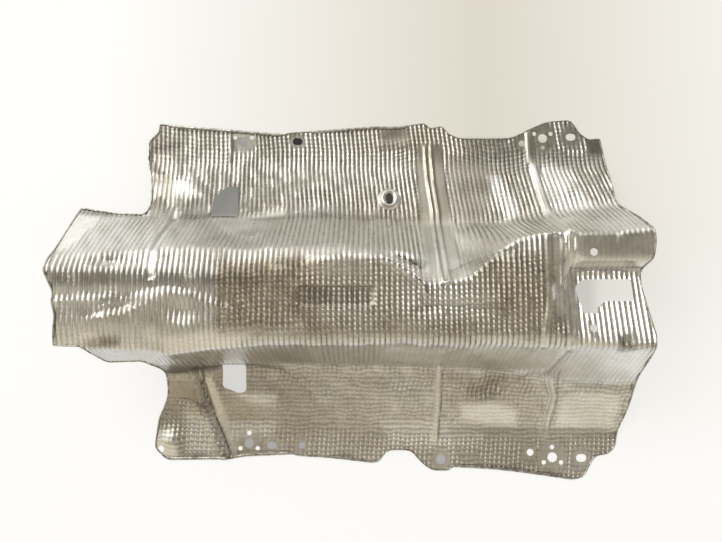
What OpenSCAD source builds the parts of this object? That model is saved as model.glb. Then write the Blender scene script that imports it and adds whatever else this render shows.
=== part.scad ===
// Corrugated aluminium heat shield for an exhaust tunnel.
// X runs along the tunnel, Y across it, Z up. The flanges lie on z = 0 and the tunnel crest is up.

/* [Sheet] */
// Thickness of the sheet
sheet_t = 0.8; // [0.5:0.1:1.2]
// Distance from one corrugation ridge to the next
wave_pitch = 6.8; // [6.8:0.1:9]
// Height of a corrugation ridge above its valley
wave_h = 1.6; // [0.8:0.1:2.2]

/* [Tunnel] */
// Height of the tunnel crest above the flanges
crest_z = 128; // [100:1:150]
// Height of the panels where the tunnel walls start
root_z = 28; // [15:1:45]
// Depth of the shelf beside the crest window
shelf_drop = 18; // [4:1:20]

/* [Beads] */
// Height of a stiffening bead
bead_h = 3; // [1:0.5:5]
// Width of a stiffening bead
bead_w = 12; // [8:1:16]
// Width of the smooth band round the middle bead
band_w = 50; // [30:1:70]

/* [Label recess] */
// Length of the recess in the crest
recess_l = 98; // [60:1:110]
// Width of the recess in the crest
recess_w = 25; // [16:1:30]
// Depth of the recess in the crest
recess_d = 2.5; // [1:0.5:4]

/* [Fixing holes] */
// Diameter of the four large holes
large_d = 14; // [10:0.5:18]
// Diameter of the small holes round each large one
small_d = 6.5; // [4:0.5:8]
// Diameter of the circle that the small holes lie on
small_pcd = 29; // [26:0.5:34]
// Distance across the tunnel between the two rear large holes
rear_span = 476; // [470:1:480]
// Diameter of the plain fixing holes
plain_d = 10; // [6:0.5:12]
// Width of the fixing slots
slot_w = 11; // [8:0.5:13]
// Length of the fixing slots
slot_l = 15; // [13:0.5:18]

/* [Hidden] */
$fn = 32;

// The sheet before it is trimmed reaches past the outline on every side.
half_l = 403;
cells = 2*round(2*half_l/wave_pitch);
cell_l = 2*half_l/cells;
flange_z = sheet_t + wave_h/2;
shelf_z = crest_z-4-shelf_drop;

// Guide lines along the sheet, from the front flange to the back one, as [x, y, z] stations.
guides = [
  [[-400, -276, flange_z], [400, -276, flange_z]],
  [[-280, -168, flange_z], [-180, -185, flange_z], [190, -197, flange_z], [400, -197, flange_z]],
  [[-280, -140, 11], [-180, -146, 13], [190, -155, root_z*0.6], [400, -162, root_z*0.7]],
  [[-400, -100, root_z+18], [-290, -98, root_z+18], [-262, -116, root_z-8], [-184, -104, root_z-6],
   [-75, -100, root_z], [150, -107, root_z+2], [224, -110, root_z+2], [302, -123, root_z+2],
   [349, -127, root_z+5], [400, -124, root_z+7]],
  [[-383, -72, crest_z-8], [-348, -75, crest_z-11], [-260, -78, crest_z-11], [-243, -83, crest_z-13],
   [-211, -80, crest_z-11], [-137, -72, crest_z-9], [-103, -69, crest_z-7], [280, -72, crest_z-7],
   [388, -73, crest_z-2]],
  [[-382, -42, crest_z-2], [-209, -53, crest_z], [-164, -48, crest_z], [-103, -46, crest_z],
   [61, -58, crest_z], [262, -58, crest_z-1], [292, -60, crest_z-6], [388, -60, crest_z-3]],
  [[-385, -9, crest_z-3], [-322, -11, crest_z-1], [-284, -15, crest_z-1], [-264, -4, crest_z],
   [-239, 1, crest_z], [-206, -3, crest_z], [-175, -15, crest_z], [-130, -18, crest_z],
   [262, -14, crest_z-1], [292, 25, shelf_z], [400, 25, shelf_z]],
  [[-397, 28, crest_z-2], [-258, 22, crest_z], [-181, 17, crest_z], [-112, 20, crest_z],
   [-66, 33, crest_z], [-15, 47, crest_z], [41, 42, crest_z-1], [67, 26, crest_z], [95, 6, crest_z-1],
   [120, 9, crest_z-1], [150, 14, crest_z], [171, 34, crest_z], [190, 48, crest_z-1],
   [206, 59, crest_z-2], [226, 65, crest_z-1], [250, 68, crest_z-1], [266, 62, crest_z-2],
   [280, 50, crest_z-3], [292, 41, crest_z-4], [400, 41, crest_z-4]],
  [[-394, 44, crest_z-13], [-264, 54, crest_z-12], [-120, 56, crest_z-12], [-15, 57, crest_z-10],
   [62, 50, crest_z-10], [86, 44, crest_z-16], [104, 50, crest_z-36], [128, 56, crest_z-48],
   [150, 57, crest_z-48], [170, 60, crest_z-36], [190, 62, crest_z-20], [209, 66, crest_z-7],
   [229, 71, crest_z-3], [255, 75, crest_z-2], [286, 76, crest_z-3], [400, 76, crest_z-3]],
  [[-400, 128, root_z-3], [-298, 118, root_z-3], [-137, 115, root_z-3], [-19, 121, root_z-3],
   [98, 108, root_z], [215, 102, root_z+2], [286, 115, root_z+10], [374, 128, root_z+14]],
  [[-400, 204, flange_z], [400, 204, flange_z]],
  [[-400, 277, flange_z], [400, 277, flange_z]]
];
rows = len(guides);
// Guide lines on either side of the crest, and at the foot and the break of the back panel.
crest_rows = [5, 7];
back_root = 9;
back_break = 10;

// Outline as [x, y, corner radius], clockwise from the back left corner.
outline = [
  [-297, 263, 2], [-107, 247, 3], [-98, 249, 3], [29, 259, 6], [72, 259, 4], [96, 263, 4], [110, 264, 3],
  [118, 256, 3], [136, 260, 4], [147, 247, 4], [162, 240, 10], [240, 240, 12], [294, 266, 12],
  [334, 269, 8], [347, 248, 3], [359, 238.5, 5], [378, 240, 3], [384, 204, 6], [385, 158, 20],
  [382, 133, 8], [393, 106, 8], [394, 60, 4], [391, 41, 4], [381, 24, 8], [380, 4, 10], [388.5, -58, 4],
  [387, -75, 4], [401, -124, 6], [394, -171, 20], [385, -204, 5], [383, -221, 8], [371, -232, 6],
  [352, -234, 8], [335, -264, 14], [318, -268, 6], [255, -259, 20], [205, -253, 20], [145, -250, 1],
  [139, -255, 3], [113, -255, 12], [96, -240, 4], [84, -226, 12], [50, -226, 14], [38, -243, 6],
  [26, -244, 3], [-33, -237, 20], [-82, -234, 1], [-86, -232, 1], [-158, -235, 8], [-176, -239, 8],
  [-270, -240, 8], [-289, -222, 8], [-284, -181, 6], [-269, -146, 10], [-267, -124, 4], [-268, -106, 8],
  [-288, -95, 4], [-340, -97, 4], [-348, -73, 4], [-383, -72, 2], [-379, -35, 4], [-385, -13, 3],
  [-384, -2, 3], [-397, 26, 3], [-395, 50, 3], [-400, 116, 3], [-399, 127, 2], [-350, 119, 10],
  [-306, 117, 6], [-300, 140, 6], [-304, 172, 6], [-313, 204, 4], [-313, 236, 4], [-299, 249, 4]
];

// Windows through the sheet, as [x, y, corner radius].
window_back = [[-208, 143, 3], [-189, 162, 4], [-172, 162, 2], [-169, 113, 3], [-208, 113, 3]];
window_front = [[-186, -101, 4], [-153, -101, 4], [-154, -140, 4], [-164, -143, 4], [-188, -134, 4]];
window_rear = [[303, 15, 9], [367, 15, 4], [367, -14, 4], [331, -14, 3], [319, -22, 4], [318, -30, 4],
  [300, -30, 4], [292, 5, 6]];

// Large holes with their three small ones, as [x, y, direction of the first small hole].
rear_hole_x = 290;
rear_hole_y = 240;
large_holes = [[rear_hole_x, rear_hole_y, -90], [rear_hole_x, rear_hole_y-rear_span, 90],
  [-168, 234, -90], [-151, -216, 90]];
flange_holes = [[258, 232], [258, -229], [-74, -219], [-279, -224]];
crest_holes = [[313, 49], [311, -49]];
tab_hole = [128, -239];
slots = [[333, 242], [332, -237], [-118, -219], [-85, 235]];
recess_at = [-21, -8];
recess_r = 5;

// Collar pressed up round an oval hole of the back panel.
boss = [54, 141];
boss_base_d = 35;
boss_top_d = 23;
boss_h = 6;
boss_hole_w = 10.5;
boss_hole_l = 19;

// Beads as [share of the bead height, share of the bead width, path]. A negative share is a groove.
beads = [
  [1, 1, [[123, -112], [123, -153], [121, -190], [119, -222]]],
  [0.8, 1.1, [[269, 262], [269, 205], [274, 196], [278, 154], [285, 110], [285, 75]]],
  [0.7, 0.9, [[254, 70], [254, -7], [248, -52], [248, -71]]],
  [0.8, 1.1, [[286, -76], [279, -117], [282, -145], [276, -200]]],
  [-1, 1.3, [[-259, 112], [-262, 76], [-262, 36], [-258, 19]]],
  [-0.8, 1.5, [[266, 66], [264, 30], [262, -4], [268, -30]]],
  [0.8, 1.2, [[114, 224], [117, 166], [122, 119], [121, 66], [121, 13]]],
  [0.8, 1.2, [[286, 78], [285, 47], [275, 16], [287, -18], [283, -52], [283, -73]]]
];
band_x = 119;
band_fade = 6;
// Sharp folds as [height, half width, path].
folds = [
  [3, 7, [[36, 44], [67, 26], [81, 17], [94, 7], [96, -4]]],
  [2, 14, [[-284, -15], [-264, -4], [-239, 1], [-206, -3], [-175, -15]]],
  [-5, 8, [[-224, -100], [-211, -155], [-200, -186]]],
  [5, 8, [[-236, -100], [-223, -155], [-212, -186]]],
  [2.5, 8, [[-210, 112], [-158, 112], [-134, 118], [-100, 130]]],
  [2.5, 7, [[-152, -95], [-127, -99], [-97, -104], [-73, -124], [-47, -146], [-20, -157]]],
  [2, 6, [[245, -112], [222, -127], [191, -155], [160, -151]]]
];
// Hollows pressed into the sheet, as [x, y, half length, half width, depth].
hollows = [[-216, -34, 34, 26, 6], [195, -119, 42, 30, 5], [-318, 40, 16, 12, 3], [-245, -165, 30, 60, 4],
  [340, -70, 14, 14, 5], [330, -150, 50, 26, 2.5], [-325, -68, 36, 14, 2.5]];
// Long buckles of the whole sheet, as [wavelength, direction, phase, height].
buckles = [[170, 12, 40, 0.7], [118, -24, 200, 0.6], [86, 8, 310, 0.5], [61, -10, 95, 0.35], [43, 5, 20, 0.25]];
buckle_clear = 28;

function clamp01(v) = min(1, max(0, v));
function smooth(v) = let (u = clamp01(v)) u*u*(3-2*u);
function guide_y(j, x) = lookup(x, [for (p = guides[j]) [p[0], p[1]]]);
function guide_z(j, x) = lookup(x, [for (p = guides[j]) [p[0], p[2]]]);

// Ridges and valleys alternate from column to column, but for the smooth band.
function wave(i, x, y) = (i%2 == 0 ? 0.5 : -0.5)*wave_h
  *(y < 0 ? 1 : smooth((abs(x-band_x)-band_w/2)/band_fade));
function segment_distance(p, a, b) = let (d = b-a) norm(p-a-d*clamp01((p-a)*d/(d*d)));
function path_distance(p, path) =
  min([for (k = [0:len(path)-2]) segment_distance(p, path[k], path[k+1])]);
function sum(v, k = 0) = k == len(v) ? 0 : v[k]+sum(v, k+1);
function bead_at(b, p) = b[0]*bead_h*(1-smooth(path_distance(p, b[2])/(b[1]*bead_w/2)));
function fold_at(f, p) = f[0]*(1-smooth(path_distance(p, f[2])/f[1]));
function hollow_at(h, p) = h[4]*(1-smooth(norm([(p[0]-h[0])/h[2], (p[1]-h[1])/h[3]])));
function buckle_at(b, p) = b[3]*sin(360/b[0]*(p*[cos(b[1]), sin(b[1])])+b[2]);
function pressed(p) = sum([for (b = beads) bead_at(b, p)])+sum([for (f = folds) fold_at(f, p)])
  -sum([for (h = hollows) hollow_at(h, p)]);
// The sheet is even round the recess and the boss, and where the flanges lie flat.
function evenness(j, x) =
  j >= crest_rows[0] && j <= crest_rows[1] ? smooth((abs(x-recess_at[0])-recess_l/2)/buckle_clear)
  : j == back_root ? smooth((abs(x-boss[0])-boss_base_d/2)/buckle_clear)
  : 1;
function buckled(j, p) = guide_z(j, p[0]) > flange_z
  ? evenness(j, p[0])*sum([for (b = buckles) buckle_at(b, p)]) : 0;

function column_x(i) = -half_l+i*cell_l;
// Unit normal in the section plane at a guide line, lengthened for the bend there.
function edge_dir(x, j) = let (d = [guide_y(j+1, x)-guide_y(j, x), guide_z(j+1, x)-guide_z(j, x)]) d/norm(d);
function miter(x, j) = let (
    a = edge_dir(x, max(0, j-1)),
    b = edge_dir(x, min(rows-2, j)),
    m = (a+b)/norm(a+b))
  [-m[1], m[0]]/(m*a);

upper_skin = [for (i = [0:cells]) for (j = [0:rows-1])
  let (x = column_x(i), y = guide_y(j, x), p = [x, y])
  [x, y, max(flange_z, guide_z(j, x)+pressed(p)+buckled(j, p))+wave(i, x, y)]];
lower_skin = [for (i = [0:cells]) for (j = [0:rows-1])
  let (p = upper_skin[i*rows+j], m = miter(column_x(i), j))
  [p[0], p[1]-m[0]*sheet_t, p[2]-m[1]*sheet_t]];
skin_size = len(upper_skin);

function at(i, j) = i*rows+j;
function wall(a, b) = [[a, b, b+skin_size], [a, b+skin_size, a+skin_size]];
faces = [for (i = [0:cells-1]) for (j = [0:rows-2]) each concat(
  [[at(i, j), at(i, j+1), at(i+1, j+1)], [at(i, j), at(i+1, j+1), at(i+1, j)]],
  [for (f = [[at(i, j), at(i+1, j+1), at(i, j+1)], [at(i, j), at(i+1, j), at(i+1, j+1)]])
    [for (v = f) v+skin_size]],
  j > 0 ? [] : wall(at(i, j), at(i+1, j)),
  j < rows-2 ? [] : wall(at(i+1, j+1), at(i, j+1)),
  i > 0 ? [] : wall(at(i, j+1), at(i, j)),
  i < cells-1 ? [] : wall(at(i+1, j), at(i+1, j+1)))];

// Points of a closed path whose corners are rounded by their own radius.
arc_steps = 4;
function corner(a, p, b) = let (
    u = [a[0]-p[0], a[1]-p[1]],
    v = [b[0]-p[0], b[1]-p[1]],
    lu = norm(u),
    lv = norm(v),
    cut = min(p[2], 0.45*lu, 0.45*lv))
  [for (k = [0:arc_steps]) let (s = k/arc_steps)
    [p[0], p[1]]+u/lu*cut*(1-s)*(1-s)+v/lv*cut*s*s];
function rounded(path) = let (n = len(path))
  [for (k = [0:n-1]) each corner(path[(k+n-1)%n], path[k], path[(k+1)%n])];

// How far a cutting tool reaches past the lowest and the highest place of the sheet.
tool_reach = 20;
tool_h = crest_z+2*tool_reach;
module through() {
  translate([0, 0, -tool_reach]) linear_extrude(tool_h) children();
}

module hole(p, d) {
  translate([p[0], p[1], -tool_reach]) cylinder(h = tool_h, d = d);
}

module slot(p, l, w, turn = 0) {
  through() translate(p) rotate(turn) {
    square([l-w, w], center = true);
    for (s = [-1, 1]) translate([s*(l-w)/2, 0]) circle(d = w);
  }
}

module rounded_box(l, w, r) {
  polygon(rounded([[-l/2, w/2, r], [l/2, w/2, r], [l/2, -w/2, r], [-l/2, -w/2, r]]));
}

// Flat lands pressed round the fixing holes of the flanges.
land_edge = 5;
land_grip = 0.1;
module land_circles(grow) {
  for (h = large_holes) translate([h[0], h[1]]) circle(d = small_pcd+small_d+land_edge+grow);
  for (h = flange_holes) translate(h) circle(d = plain_d+2*land_edge+grow);
  for (s = slots) translate(s) circle(d = slot_l+2*land_edge+grow);
  translate(tab_hole) circle(d = large_d+2*land_edge+grow);
}

module lands() {
  translate([0, 0, flange_z-sheet_t-land_grip]) linear_extrude(sheet_t+2*land_grip) land_circles(0);
}

module fixing_holes() {
  for (h = large_holes) {
    hole(h, large_d);
    for (k = [0:2]) hole([h[0]+small_pcd/2*cos(h[2]+120*k), h[1]+small_pcd/2*sin(h[2]+120*k)], small_d);
  }
  for (h = concat(flange_holes, crest_holes)) hole(h, plain_d);
  hole(tab_hole, large_d);
  for (s = slots) slot(s, slot_l, slot_w);
  slot(boss, boss_hole_l, boss_hole_w, 90);
}

module windows() {
  for (w = [window_back, window_front, window_rear]) through() polygon(rounded(w));
}

// Places a thing on the back panel under the boss, square to the panel.
module on_back_panel() {
  run = guide_y(back_break, boss[0])-guide_y(back_root, boss[0]);
  fall = guide_z(back_root, boss[0])-guide_z(back_break, boss[0]);
  z = guide_z(back_break, boss[0])+fall*(guide_y(back_break, boss[0])-boss[1])/run;
  translate([boss[0], boss[1], z]) rotate([-atan(fall/run), 0, 0]) children();
}

module boss_cone(sink) {
  translate([0, 0, -sink]) cylinder(h = boss_h, d1 = boss_base_d, d2 = boss_top_d);
}

module boss_shell() {
  on_back_panel() difference() {
    boss_cone(0);
    boss_cone(sheet_t);
  }
}

module recess_block(z, grow, h) {
  translate([recess_at[0], recess_at[1], z]) linear_extrude(h)
    rounded_box(recess_l+grow, recess_w+grow, recess_r);
}

module recess_tray() {
  difference() {
    recess_block(crest_z-recess_d-sheet_t, 0, recess_d+sheet_t);
    recess_block(crest_z-recess_d, -2*sheet_t, recess_d+tool_reach);
  }
}

module corrugated_sheet() {
  difference() {
    polyhedron(concat(upper_skin, lower_skin), faces, convexity = 20);
    through() land_circles(-2*sheet_t);
    recess_block(crest_z-tool_reach, -sheet_t, 2*tool_reach);
    on_back_panel() boss_cone(sheet_t);
  }
}

module heat_shield() {
  color("silver") difference() {
    intersection() {
      union() {
        corrugated_sheet();
        lands();
        recess_tray();
        boss_shell();
      }
      through() polygon(rounded(outline));
    }
    windows();
    fixing_holes();
  }
}

heat_shield();
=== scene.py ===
import math
import bpy
import numpy as np
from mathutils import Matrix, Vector
from mathutils.bvhtree import BVHTree


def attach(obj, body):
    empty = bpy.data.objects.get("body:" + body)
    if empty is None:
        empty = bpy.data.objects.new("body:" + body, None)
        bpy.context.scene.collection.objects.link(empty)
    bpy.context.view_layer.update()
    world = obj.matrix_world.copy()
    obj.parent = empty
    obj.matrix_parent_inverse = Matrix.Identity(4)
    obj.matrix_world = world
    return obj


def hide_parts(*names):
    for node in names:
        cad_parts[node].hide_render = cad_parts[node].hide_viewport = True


# Corrugated aluminium heat shield of an exhaust tunnel. Lengths are in millimetres until a mesh is made.
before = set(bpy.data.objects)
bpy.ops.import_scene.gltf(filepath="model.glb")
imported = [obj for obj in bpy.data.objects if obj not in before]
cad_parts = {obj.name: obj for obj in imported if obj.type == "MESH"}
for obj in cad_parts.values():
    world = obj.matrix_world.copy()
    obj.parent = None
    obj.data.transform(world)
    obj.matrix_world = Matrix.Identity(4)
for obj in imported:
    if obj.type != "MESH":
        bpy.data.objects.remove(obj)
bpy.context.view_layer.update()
scene = bpy.context.scene

MM = 0.001
rng = np.random.default_rng(11)

# Sheet
SHEET_T = 0.8
# Lowest point of the sheet's underside and of the rim.
SHEET_FLOOR = 0.02
RIM_FLOOR = 0.03
PITCH = 6.8
WAVE_H = 1.7
NUB_PITCH = 6.5
# Where the ridges start and end, outside the outline.
FIRST_RIDGE = -416
PAST_LAST_RIDGE = 432
# Height of a ridge at each of the four columns that make it, from -1 to 1.
RIDGE = (1.0, -0.6, -1.0, -0.6)
# Height of the flanges and of the shelf beside the rear window.
FLANGE = 1.6
SHELF = 106

# Guide lines from the front edge to the back one, as [reach of the bend there, stations as [x, y, z]].
GUIDES = [
    (0, [(-400, -276, FLANGE), (400, -276, FLANGE)]),
    (14, [(-280, -168, FLANGE), (-180, -185, FLANGE), (190, -197, FLANGE), (400, -197, FLANGE)]),
    (14, [(-280, -140, 11), (-180, -146, 13), (190, -155, 17), (400, -162, 20)]),
    (13, [(-400, -100, 46), (-290, -98, 46), (-262, -116, 20), (-184, -104, 22), (-75, -100, 28),
          (150, -107, 30), (224, -110, 30), (302, -123, 30), (349, -127, 33), (400, -124, 35)]),
    (5, [(-383, -72, 120), (-348, -75, 117), (-296, -77, 118), (-260, -78, 117), (-243, -83, 115),
         (-211, -80, 117), (-175, -76, 118), (-137, -72, 119), (-103, -69, 121), (280, -72, 121),
         (388, -73, 126)]),
    (9, [(-382, -42, 126), (-209, -53, 128), (-164, -48, 128), (-103, -46, 128), (61, -58, 128),
         (262, -58, 127), (292, -60, 122), (388, -60, 125)]),
    (1.6, [(-385, -13, 125), (-300, -20, 127), (-216, -27, 128), (-130, -20.5, 128), (60, -20.5, 128),
           (262, -14, 127), (292, 20, SHELF), (400, 20, SHELF)]),
    (1.6, [(-397, 6, 126), (-258, 4.5, 128), (41, 4.5, 128), (67, 3, 128), (95, -4, 127), (127, 4, 127),
           (262, 8, 127), (292, 29, SHELF), (400, 29, SHELF)]),
    (6, [(-397, 28, 126), (-258, 22, 128), (-181, 17, 128), (-112, 20, 128), (-66, 33, 128), (-15, 47, 128),
         (41, 42, 127), (67, 26, 128), (95, 6, 127), (120, 9, 127), (150, 14, 128), (171, 34, 128),
         (190, 48, 127), (206, 59, 126), (226, 65, 127), (250, 68, 127), (266, 62, 126), (280, 50, 125),
         (292, 41, 124), (400, 41, 124)]),
    (7, [(-394, 44, 115), (-264, 54, 116), (-120, 56, 116), (-15, 57, 118), (62, 50, 118), (86, 44, 112),
         (104, 50, 92), (128, 56, 80), (150, 57, 80), (170, 60, 92), (190, 62, 108), (209, 66, 120),
         (229, 71, 125), (255, 75, 126), (286, 76, 125), (400, 76, 125)]),
    (14, [(-400, 128, 25), (-298, 118, 25), (-137, 115, 25), (-19, 121, 25), (98, 108, 28), (215, 102, 30),
          (286, 115, 38), (374, 128, 42)]),
    (16, [(-400, 204, FLANGE), (400, 204, FLANGE)]),
    (0, [(-400, 277, FLANGE), (400, 277, FLANGE)]),
]
# Rows of the mesh between one guide line and the next.
ROWS_BETWEEN = [9, 3, 5, 13, 4, 5, 4, 5, 5, 13, 13, 9]
# Guide lines from which the ridges lean toward the front and toward the back.
FRONT_ROOT = 3
BACK_ROOT = 10
BLEND_STEPS = 4
# How far a ridge leans to the left at the front and the back edge.
LEAN_FRONT = [(-400, 6), (-150, 14), (100, 20), (400, 20)]
LEAN_BACK = [(-400, 2), (-160, 4), (-120, 12), (16, 12), (250, 18), (400, 18)]

# Outline as [x, y, corner radius], clockwise from the back left corner.
OUTLINE = [
    (-297, 263, 2), (-107, 247, 3), (-98, 249, 3), (29, 259, 6), (72, 259, 4), (96, 263, 4), (110, 264, 3),
    (118, 256, 3), (136, 260, 4), (147, 247, 4), (162, 240, 10), (240, 240, 12), (294, 266, 12),
    (334, 269, 8), (347, 248, 3), (359, 238.5, 5), (378, 240, 3), (384, 204, 6), (385, 158, 20),
    (382, 133, 8), (393, 106, 8), (394, 60, 4), (391, 41, 4), (381, 24, 8), (380, 4, 10), (388.5, -58, 4),
    (387, -75, 4), (401, -124, 6), (394, -171, 20), (385, -204, 5), (383, -221, 8), (371, -232, 6),
    (352, -234, 8), (335, -264, 14), (318, -268, 6), (255, -259, 20), (205, -253, 20), (145, -250, 1),
    (139, -255, 3), (113, -255, 12), (96, -240, 4), (84, -226, 12), (50, -226, 14), (38, -243, 6),
    (26, -244, 3), (-33, -237, 20), (-82, -234, 1), (-86, -232, 1), (-158, -235, 8), (-176, -239, 8),
    (-270, -240, 8), (-289, -222, 8), (-284, -181, 6), (-269, -146, 10), (-267, -124, 4), (-268, -106, 8),
    (-288, -95, 4), (-340, -97, 4), (-348, -73, 4), (-383, -72, 2), (-379, -35, 4), (-385, -13, 3),
    (-384, -2, 3), (-397, 26, 3), (-395, 50, 3), (-400, 116, 3), (-399, 127, 2), (-350, 119, 10),
    (-306, 117, 6), (-300, 140, 6), (-304, 172, 6), (-313, 204, 4), (-313, 236, 4), (-299, 249, 4),
]
WINDOWS = [
    [(-208, 143, 3), (-189, 162, 4), (-172, 162, 2), (-169, 113, 3), (-208, 113, 3)],
    [(-186, -101, 4), (-153, -101, 4), (-154, -140, 4), (-164, -143, 4), (-188, -134, 4)],
    [(303, 15, 9), (367, 15, 4), (367, -14, 4), (331, -14, 3), (319, -22, 4), (318, -30, 4), (300, -30, 4),
     (292, 5, 6)],
]
# Fixing holes as [x, y, direction of the first of the three rivet holes round it in degrees].
LARGE_HOLES = [(290, 240, -90), (290, -236, 90), (-168, 234, -90), (-151, -216, 90)]
LARGE_D = 14
SMALL_D = 6.5
SMALL_PCD = 29
FLANGE_HOLES = [(258, 232), (258, -229), (-74, -219), (-279, -224)]
CREST_HOLES = [(313, 49), (311, -49)]
PLAIN_D = 10
TAB_HOLE = (128, -239)
SLOTS = [(333, 242), (332, -237), (-118, -219), (-85, 235)]
# Length and width of a slot.
SLOT = (15, 11)
# Hole of the back panel, cut wide for the collar that stands in it.
BOSS = (54, 141)
BOSS_CUT_D = 27
# Recess of the crest as [x, y, length, width, depth].
RECESS = (-21, -8, 98, 25, 2.5)
RECESS_R = 5

# Outlines and folds that more than one list names.
FOLD_SIDE = [(-215, -120), (-203, -120), (-190, -156), (-174, -203), (-168, -232), (-180, -232),
             (-196, -196), (-210, -162)]
RIGHT_FIELD = [(299, -146), (332, -141), (382, -146), (379, -194), (296, -194)]
DENT_FOOT = [(157, -160), (205, -157), (237, -168), (239, -192), (201, -190), (158, -180)]
BACK_TAB = [(43, 259), (84, 259), (84, 230), (42, 230)]
NOTCH_FOLD = [(61, 46), (75, 39), (93, 29)]
LEFT_FOLD = [(-219, -126), (-215, -144), (-205, -169), (-190, -201), (-178, -230)]
BEAD_FOOT = [(128, -108), (128, -158), (125, -209)]
SHOULDER_FOLD = [(129, 25), (156, 38), (185, 47), (209, 54)]
# Beads as [height, half width, points]. A negative height is a groove.
BEADS = [
    (4.0, 5.5, [(122, -108), (122, -158), (119, -209)]),
    (2.6, 7.0, [(269, 250), (269, 205), (274, 196), (278, 154), (285, 110), (283, 88), (285, 75)]),
    (2.0, 5.0, [(254, 70), (254, 26), (254, -7), (248, -52), (248, -71)]),
    (-3.2, 8.0, [(-259, 112), (-262, 76), (-262, 54), (-262, 36), (-258, 19)]),
    (-2.5, 9.0, [(266, 66), (264, 30), (262, -4), (268, -30)]),
]
# Pairs of narrow ridges as [height, half width, distance between them, points].
DOUBLES = [
    (2.5, 3.4, 9, [(114, 224), (117, 166), (122, 119), (121, 66), (121, 13)]),
    (2.2, 3.0, 9, [(282, -76), (275, -108), (286, -146), (281, -174), (278, -199)]),
    (1.9, 2.8, 8, [(286, 78), (285, 47), (279, 33), (275, 16), (281, -7), (287, -18), (283, -52),
                   (283, -73)]),
]
# Creases as [height, half width, points]: a sharp line that fades out on both sides.
CREASES = [
    (3.2, 7, [(36, 44), (67, 26), (81, 17), (94, 7), (96, -4)]),
    (-4.5, 4.5, [(58, 47), (77, 38), (96, 28)]),
    (-2.0, 5, [(127, 27), (152, 35), (172, 42), (194, 48), (226, 58)]),
    (-2.2, 6, [(192, 48), (214, 43), (236, 35), (254, 22)]),
    (-2.2, 8, [(83, -27), (92, -23), (113, -21), (145, -21), (178, -26)]),
    (-1.5, 4, [(-167, -8), (-165, -29), (-164, -49)]),
    (2.4, 8, [(-210, 112), (-158, 112), (-134, 118), (-100, 130)]),
    (-6.5, 6, [(-221, -112), (-211, -155), (-200, -186), (-185, -220), (-174, -238)]),
    (6.5, 6, [(-231, -112), (-221, -155), (-210, -186), (-195, -220), (-184, -238)]),
    (2.2, 7, [(-269, -122), (-250, -128), (-222, -156), (-211, -171)]),
    (2.8, 6, [(-152, -95), (-127, -99), (-97, -104), (-73, -124), (-47, -146), (-20, -157)]),
    (2.2, 6, [(245, -112), (222, -127), (211, -138), (191, -155), (160, -151)]),
    (-1.6, 6, [(-316, 226), (-268, 228)]),
    (-1.8, 8, [(-308, 176), (-261, 172)]),
    (-1.6, 6, [(38, 134), (22, 110)]),
    (1.8, 6, [(40, 230), (86, 230)]),
    (1.3, 3, [(287, 34), (297, 39), (384, 40)]),
    (1.6, 5, [(-188, 252), (-187, 200), (-150, 199)]),
    (-2.0, 6, [(345, 80), (343, 66)]),
    (1.6, 5, [(117, -82), (134, -76), (152, -73), (169, -88)]),
    (1.4, 5, [(146, -112), (168, -123), (200, -119), (239, -113)]),
    (-1.6, 4, [(195, -29), (200, -13), (200, -52)]),
    (-2.0, 6, [(-316, 40), (-300, 36)]),
    (2.2, 5, [(259, 10), (259, -16)]),
    (2.2, 5, [(287, 12), (290, -14)]),
]
# Steps as [height, reach, points], raised to the right of the path and fading out over the reach.
STEPS = [
    (5.0, 20, [(-284, -9), (-264, -3), (-239, 1), (-206, -3), (-175, -15)]),
    (3.4, 16, [(-392, -11), (-354, -9), (-322, -8)]),
    (5.0, 16, [(-318, -31), (-298, -27), (-277, -19)]),
]
# Hollows as [x, y, half length, half width, turn in degrees, depth].
HOLLOWS = [
    (-216, -27, 28, 22, -20, 6), (200, -131, 44, 24, 12, 6), (-318, 40, 16, 12, 0, 3.5),
    (-290, -20, 30, 16, 0, 2.5), (-245, -148, 26, 22, 30, 5), (64, 242, 22, 15, 0, 2),
    (-325, -66, 36, 10, 0, 2.5), (-150, 88, 50, 18, 8, 2), (268, 188, 6, 8, 0, 2), (286, 188, 6, 8, 0, 2),
    (120, -30, 60, 30, 0, -1.5), (-120, -128, 46, 26, 0, 3), (180, 150, 60, 30, 0, 2),
    (-60, 160, 70, 30, 0, -2), (330, -150, 50, 26, 0, 2.5), (60, -150, 60, 26, 0, -2.5),
    (-290, -175, 20, 24, 0, -3), (330, 160, 40, 30, 0, -2), (-262, -214, 24, 30, 20, -7),
    (350, -68, 10, 12, 0, 4),
]
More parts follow.
